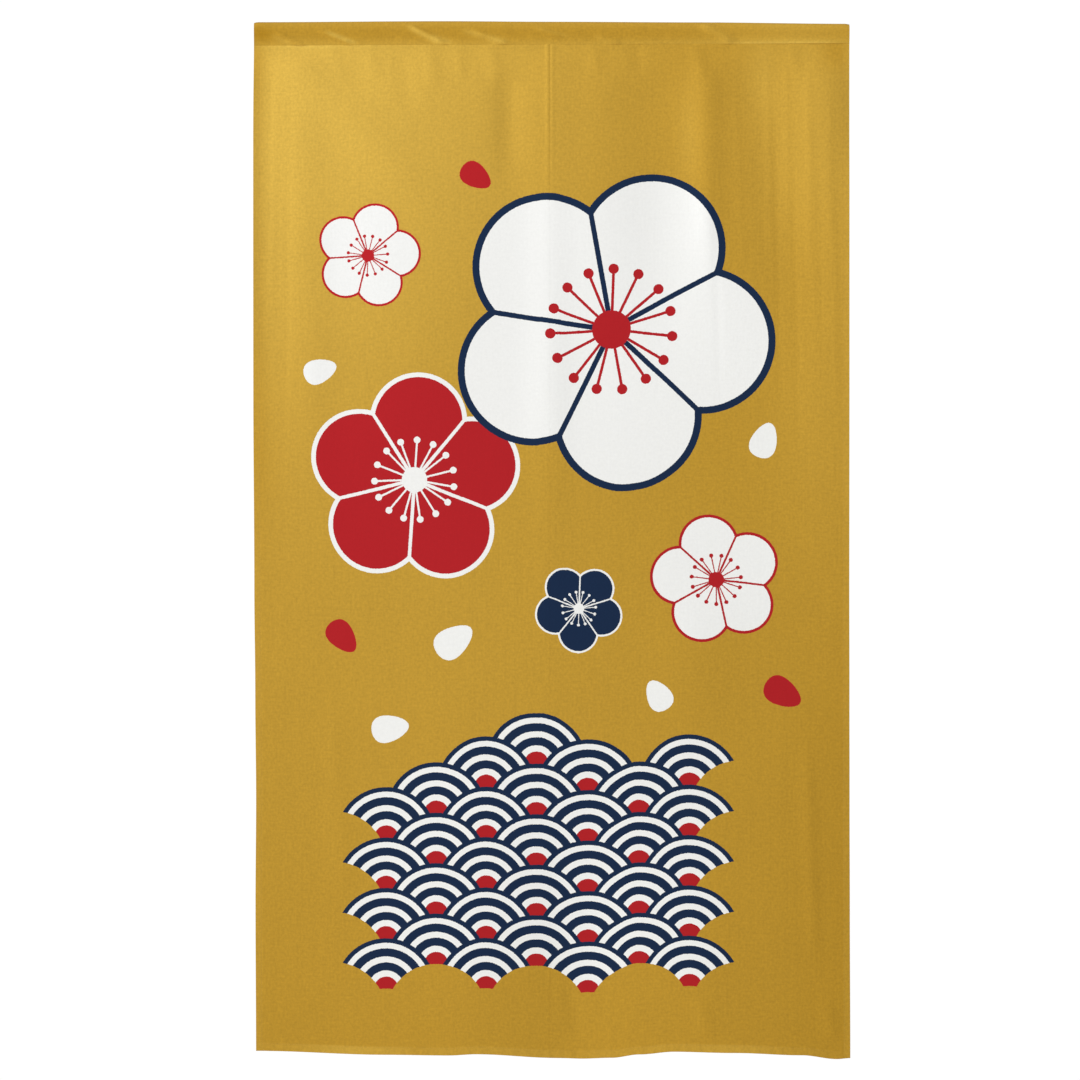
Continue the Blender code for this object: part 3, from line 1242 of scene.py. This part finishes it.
class StitchPull(NamedTuple):
    """The groove that a row of stitches draws in the cloth."""

    depth: float
    half_width: float


@dataclass
class Panel:
    """A length of printed cloth with its sides and foot hemmed to the back, sewn into the sleeve.

    The width and the length are the finished ones, the length with what the sleeve holds. The
    steps are where columns and rows lie, counted from an edge.
    """

    side: Side
    drape: Marks
    face: bpy.types.Material
    reverse: bpy.types.Material
    thread: bpy.types.Material
    thickness: float = 0.45
    side_hem: float = 10.0
    foot_hem: float = 12.0
    hem_half_gap: float = 0.5
    corner_half_gap: float = 1.25
    tucked: float = 6.0
    column_step: float = 4.0
    row_step: float = 5.0
    stitch_inset: float = 8.2
    foot_stitch_inset: float = 10.2
    slit_lap: float = 0.03
    edge_roll: float = 0.2
    seam_lift: float = 1.0
    seam_reach: float = 7.0
    seam_margin: float = 14.0
    seam_step: float = 3.0
    width: float = 423.0
    length: float = 1449.0
    usual_foot: float = 1476.0
    straight_drop: float = 700.0
    turn_steps: int = 6
    side_flap: tuple[float, ...] = (9.5, 8.2, 7.0, 5.5, 4.0, 2.5, 1.0)
    side_steps: tuple[float, ...] = (-0.2, 1.0, 2.2, 3.6, 5.0, 6.4, 7.4, 8.2, 9.0, 9.8, 10.8, 13.0)
    foot_flap: tuple[float, ...] = (1.0, 2.5, 4.0, 5.5, 7.0, 8.4, 9.4, 10.2, 11.5)
    foot_steps: tuple[float, ...] = (22.0, 18.0, 15.0, 13.0, 12.0, 11.0, 10.2, 9.4, 8.0, 6.5, 5.0,
                                     3.5, 2.0, 1.0, 0.0)
    head_depth: float = 90.0
    head_step: float = 2.5
    corner_ease: float = 10.0
    face_lift: float = 0.2
    side_pull: StitchPull = StitchPull(0.05, 1.4)
    foot_pull: StitchPull = StitchPull(0.14, 1.5)
    side_ripple: Ripple = Ripple(2.6, 2.0, 31.0, 9.0, 0.06)
    foot_ripple: Ripple = Ripple(2.9, 2.2, 27.0, 12.0, 0.16)
    lip_inset: float = 3.4
    lip_half_width: float = 3.0
    side_band: float = 9.0
    side_band_edge: float = 1.6
    foot_band: float = 9.6
    foot_band_edge: float = 4.0
    # Painted light on the outer side hems: the share of the painted daylight they lose, and the painted
    # light they get instead
    painted_hem_shade: float = 0.12
    painted_hem_light: float = 0.1

    def on_outer_half(self, place: Array) -> Array:
        """Whether places in the finished width are nearer the curtain's side than its slit."""
        return (place < self.width / 2) == (self.side is Side.LEFT)

    def edges(self, drop: Array) -> tuple[Array, Array]:
        """Where the panel's two sides lie.

        Args:
            drop: drops of the points.

        Returns:
            The places across of the left and right side.
        """
        outer = read_line(SIDE_LINE, drop, self.side.value)
        if self.side is Side.LEFT:
            return outer, np.full(np.shape(drop), SLIT_ACROSS + self.slit_lap)
        return np.full(np.shape(drop), SLIT_ACROSS - self.slit_lap), outer

    def columns(self) -> tuple[Array, Array, Array]:
        """The columns from the left hem's inner end, round both edges, to the right hem's inner end.

        Returns:
            Each column's place in the finished width, how far it lies behind, and its flat place.
        """
        gap = self.hem_half_gap
        flap = np.array(self.side_flap)
        turn = np.linspace(math.pi, 0, self.turn_steps + 1)
        hem_steps = np.array(self.side_steps)
        first, last = gap + hem_steps, self.width - gap - hem_steps[::-1]
        count = int((last[0] - first[-1]) / self.column_step)
        middle = np.linspace(first[-1], last[0], count + 1)[1:-1]
        inset = np.concatenate([self.edge_roll + flap, self.edge_roll * (1 - np.sin(turn))])
        behind = np.concatenate([np.full(len(flap), 2 * gap), gap * (1 - np.cos(turn))])
        flat = np.concatenate([-(math.pi * gap + flap), -gap * turn])
        body = np.concatenate([first, middle, last])
        place = np.concatenate([inset, body, self.width - inset[::-1]])
        layer = np.concatenate([behind, np.zeros(len(body)), behind[::-1]])
        spread = np.concatenate([flat, body - gap, self.width - 2 * gap - flat[::-1]])
        return place, layer, spread

    def rows(self) -> tuple[Array, Array, Array]:
        """The rows from the tucked top, down the body, round the foot and up its hem.

        Returns:
            Each row's height over the foot's roll, its turn round the roll, and its place in the hem.
        """
        top = np.arange(self.length, self.length - self.head_depth, -self.head_step)
        foot = np.array(self.foot_steps)
        count = int((top[-1] - foot[0]) / self.row_step)
        middle = np.linspace(top[-1], foot[0], count + 1)[1:-1]
        body = np.concatenate([top, middle, foot])
        turn = np.linspace(0, math.pi, self.turn_steps + 1)[1:]
        flap = np.array(self.foot_flap)
        height = np.concatenate([body, np.zeros(len(turn) + len(flap))])
        turned = np.concatenate([np.zeros(len(body)), turn, np.full(len(flap), math.pi)])
        hem = np.concatenate([np.zeros(len(body) + len(turn)), flap])
        return height, turned, hem

    def foot_half_gap(self, place: Array) -> Array:
        """Half the gap that the foot's hem turns round, wider where it holds the side hems.

        Args:
            place: places in the finished width.

        Returns:
            The half gap at each place.
        """
        aside = np.minimum(place, self.width - place)
        share = 1 - smooth_step((aside - self.side_hem) / self.corner_ease)
        return self.hem_half_gap + (self.corner_half_gap - self.hem_half_gap) * share

    def surface(self, place: Array, layer: Array, height: Array) -> Array:
        """Puts points of the finished panel where they hang.

        Args:
            place: places in the finished width.
            layer: how far each point lies behind the printed face.
            height: heights over the foot's edge, as the rows are spaced.

        Returns:
            The points.
        """
        left, right = self.edges(self.usual_foot - height)
        x = left + place * (right - left) / self.width
        top = -read_line(HEADING_LINE, x, "seam") - self.tucked
        foot = read_line(FOOT_LINE, x, "drop")
        drop = foot - height * (foot - top) / self.length
        left, right = self.edges(drop)
        x = left + place * (right - left) / self.width
        seam = -read_line(HEADING_LINE, x, "seam")
        lift = self.seam_lift * hump(drop - seam, self.seam_reach)
        y = layer - total(self.drape, x, drop) - self.face_lift - lift
        return np.stack([x, y + self.hem_relief(x, drop, place, height), -drop], axis=-1)

    def hem_relief(self, x: Array, drop: Array, place: Array, height: Array) -> Array:
        """How far the hems' stitches take the cloth back, less what the slit's lips stand proud.

        Args:
            x: places across the curtain.
            drop: drops of the points.
            place: places in the finished width.
            height: heights over the foot's edge.

        Returns:
            The distance back at each point.
        """
        aside = np.minimum(place, self.width - place)
        groove = self.side_pull.depth * hump(aside - self.stitch_inset, self.side_pull.half_width)
        drawn = groove * self.on_outer_half(place)
        drawn = drawn + self.foot_pull.depth * hump(height - self.foot_stitch_inset,
                                                    self.foot_pull.half_width)
        ripple = self.side_ripple.at(drop, aside) + self.foot_ripple.at(x, height)
        from_slit = self.width - place if self.side is Side.LEFT else place
        lip = read_line(SLIT_LINE, drop, self.side.value) * hump(from_slit - self.lip_inset,
                                                                 self.lip_half_width)
        return drawn + ripple - lip

    def grid(self) -> ClothGrid:
        """The panel's points, with its hems turned to the back.

        Returns:
            The grid of the whole cut length.
        """
        place, layer, spread = self.columns()
        over, turned, hem = self.rows()
        gap = self.foot_half_gap(place)[None, :]
        behind = layer[None, :]
        height = gap + over[:, None] + hem[:, None] - (gap - behind) * np.sin(turned)[:, None]
        depth = gap + (behind - gap) * np.cos(turned)[:, None]
        places = np.broadcast_to(place[None, :], height.shape)
        points = self.surface(places, depth, height)
        start = self.edges(np.array(self.straight_drop))[0]
        down = self.usual_foot - np.where(turned > 0, 0.0, over) + self.hem_half_gap * turned + hem
        flat = np.stack(np.meshgrid(start + spread, down), axis=-1)
        across, drop = points[..., 0], -points[..., 2]
        # Painted light and shade: the panel's painted daylight, changed along the outer side hems, and more
        # painted light on the foot's hem
        aside = np.minimum(places, self.width - places)
        side_hem = 1 - smooth_step((aside - self.side_band) / self.side_band_edge)
        outer_hem = side_hem * self.on_outer_half(places)
        lit = total(PANEL_PAINTED_LIGHT, across, drop)
        lit = lit * (1 - self.painted_hem_shade * outer_hem) + self.painted_hem_light * outer_hem
        foot_hem = 1 - smooth_step((height - self.foot_band) / self.foot_band_edge)
        return ClothGrid(points, flat, lit + total(FOOT_PAINTED_LIGHT, across, drop) * foot_hem)

    def seams(self) -> list[Seam]:
        """The rows of stitches that hold the three hems.

        Returns:
            The seams.
        """
        height = np.arange(self.foot_stitch_inset, self.length - self.seam_margin, self.seam_step)
        left, right = self.stitch_inset, self.width - self.stitch_inset
        # The hems beside the slit are blind stitched, so that only the outer ones show on the face
        outer = left if self.side is Side.LEFT else right
        back = 2 * self.hem_half_gap
        found = []
        for inset, depth, outward in ((left, back, 1.0), (right, back, 1.0), (outer, 0.0, -1.0)):
            line = self.surface(np.full(height.shape, inset), np.full(height.shape, depth), height)
            found.append(Seam(line, outward))
        places = np.arange(left, right, self.seam_step)
        level = np.full(places.shape, self.foot_stitch_inset)
        found.append(Seam(self.surface(places, np.zeros(places.shape), level), -1.0))
        found.append(Seam(self.surface(places, 2 * self.foot_half_gap(places), level), 1.0))
        return found

    def build(self) -> list[bpy.types.Object]:
        """Builds and dresses the panel and its stitches.

        Returns:
            The new objects.
        """
        name = self.side.value + "_panel"
        cloth = self.grid().build(name + "_cloth", self.face, self.reverse, self.thickness)
        stitches = Stitching().build(name + "_stitches", self.seams(), self.thread)
        for piece in (cloth, stitches):
            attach(piece, "root")
        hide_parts(name)
        return [cloth, stitches]


@dataclass(frozen=True)
class SoftLamp:
    """A square studio lamp: where it stands and aims, in metres, its side and its power."""

    name: str
    place: tuple[float, float, float]
    aim: tuple[float, float, float]
    side: float
    power: float

    def build(self) -> bpy.types.Object:
        """Builds the lamp.

        Returns:
            The lamp's object.
        """
        data = bpy.data.lights.new(self.name, "AREA")
        data.size = self.side
        data.energy = self.power
        lamp = add_object(self.name, data)
        lamp.location = self.place
        lamp.rotation_euler = (Vector(self.aim) - Vector(self.place)).to_track_quat("-Z", "Y").to_euler()
        return lamp


@dataclass
class Studio:
    """A pale floor, white surroundings, soft lamps and the photograph's square front view."""

    lamps: tuple[SoftLamp, ...]
    distance: float = 7.0
    view_width: float = 1.5421
    camera_across: float = -0.0167
    camera_height: float = -0.740
    floor_height: float = -1.85
    floor_radius: float = 2.6
    floor_sides: int = 96
    surround: float = 0.42
    seen_surround: float = 1.02
    sensor_width: float = 36.0

    def build(self) -> None:
        """Builds the floor, the surroundings, the lamps and the camera."""
        self.build_floor()
        self.build_world()
        for lamp in self.lamps:
            lamp.build()
        data = bpy.data.cameras.new("front_camera")
        data.sensor_width = self.sensor_width
        data.lens = self.sensor_width * self.distance / self.view_width
        camera = add_object("front_camera", data)
        camera.location = (self.camera_across, -self.distance, self.camera_height)
        camera.rotation_euler = (math.pi / 2, 0.0, 0.0)
        bpy.context.scene.camera = camera
        bpy.context.scene.view_settings.view_transform = "Standard"

    def build_floor(self) -> None:
        """Builds a round pale floor, out of the front view."""
        around = np.linspace(0, 2 * math.pi, self.floor_sides + 1)[:-1]
        rim = [(self.floor_radius * math.cos(turn), self.floor_radius * math.sin(turn),
                self.floor_height) for turn in around]
        mesh = bpy.data.meshes.new("floor")
        mesh.from_pydata(rim, [], [list(range(len(rim)))])
        material = new_material("matt_white_painted_board")
        shader = add_node(material.node_tree, PRINCIPLED,
                          named={"Base Color": linear("#E6E6E3"), "Roughness": 0.9})
        add_node(material.node_tree, "ShaderNodeOutputMaterial", shader)
        mesh.materials.append(material)
        add_object("floor", mesh)

    def build_world(self) -> None:
        """Builds surroundings that look white and give a weaker even light."""
        world = bpy.data.worlds.new("white_surround")
        bpy.context.scene.world = world
        world.use_nodes = True
        tree = world.node_tree
        tree.nodes.clear()
        seen = add_node(tree, "ShaderNodeLightPath", output="Is Camera Ray")
        strength = add_node(tree, MATH, seen, self.seen_surround - self.surround, self.surround,
                            operation="MULTIPLY_ADD")
        light = add_node(tree, "ShaderNodeBackground", (1.0, 1.0, 1.0, 1.0), strength)
        add_node(tree, "ShaderNodeOutputWorld", light)


def main() -> None:
    """Builds the studio and the curtain, and reports each piece."""
    logging.basicConfig(level=logging.INFO, format="%(name)s: %(message)s")
    Studio(lamps=(
        SoftLamp("key_lamp", (-18.0, -10.2, -0.7), (0.0, 0.0, -0.7), 6.0, 3660.0),
        SoftLamp("top_lamp", (-0.2, -2.0, 2.2), (0.0, 0.0, -0.3), 1.2, 25.0),
        SoftLamp("back_lamp", (0.6, 3.0, 0.6), (0.0, 0.0, -0.7), 2.0, 40.0),
    )).build()
    face = WovenPolyester("printed_plain_woven_polyester", GOLD, PRINT).make()
    sleeve_face = WovenPolyester("doubled_plain_woven_polyester", GOLD).make()
    reverse = WovenPolyester("plain_woven_polyester_reverse", REVERSE_GOLD, PRINT, 0.35).make()
    thread = SewingThread().make()
    assemblies = (
        HeadingSleeve(SLEEVE_CREASES, sleeve_face, reverse, thread),
        Panel(Side.LEFT, LONG_FOLDS + PANEL_CREASES, face, reverse, thread),
        Panel(Side.RIGHT, LONG_FOLDS + PANEL_CREASES, face, reverse, thread),
    )
    for assembly in assemblies:
        for piece in assembly.build():
            LOG.info("%s: %d faces", piece.name, len(piece.data.polygons))


if __name__ == "__main__":
    main()
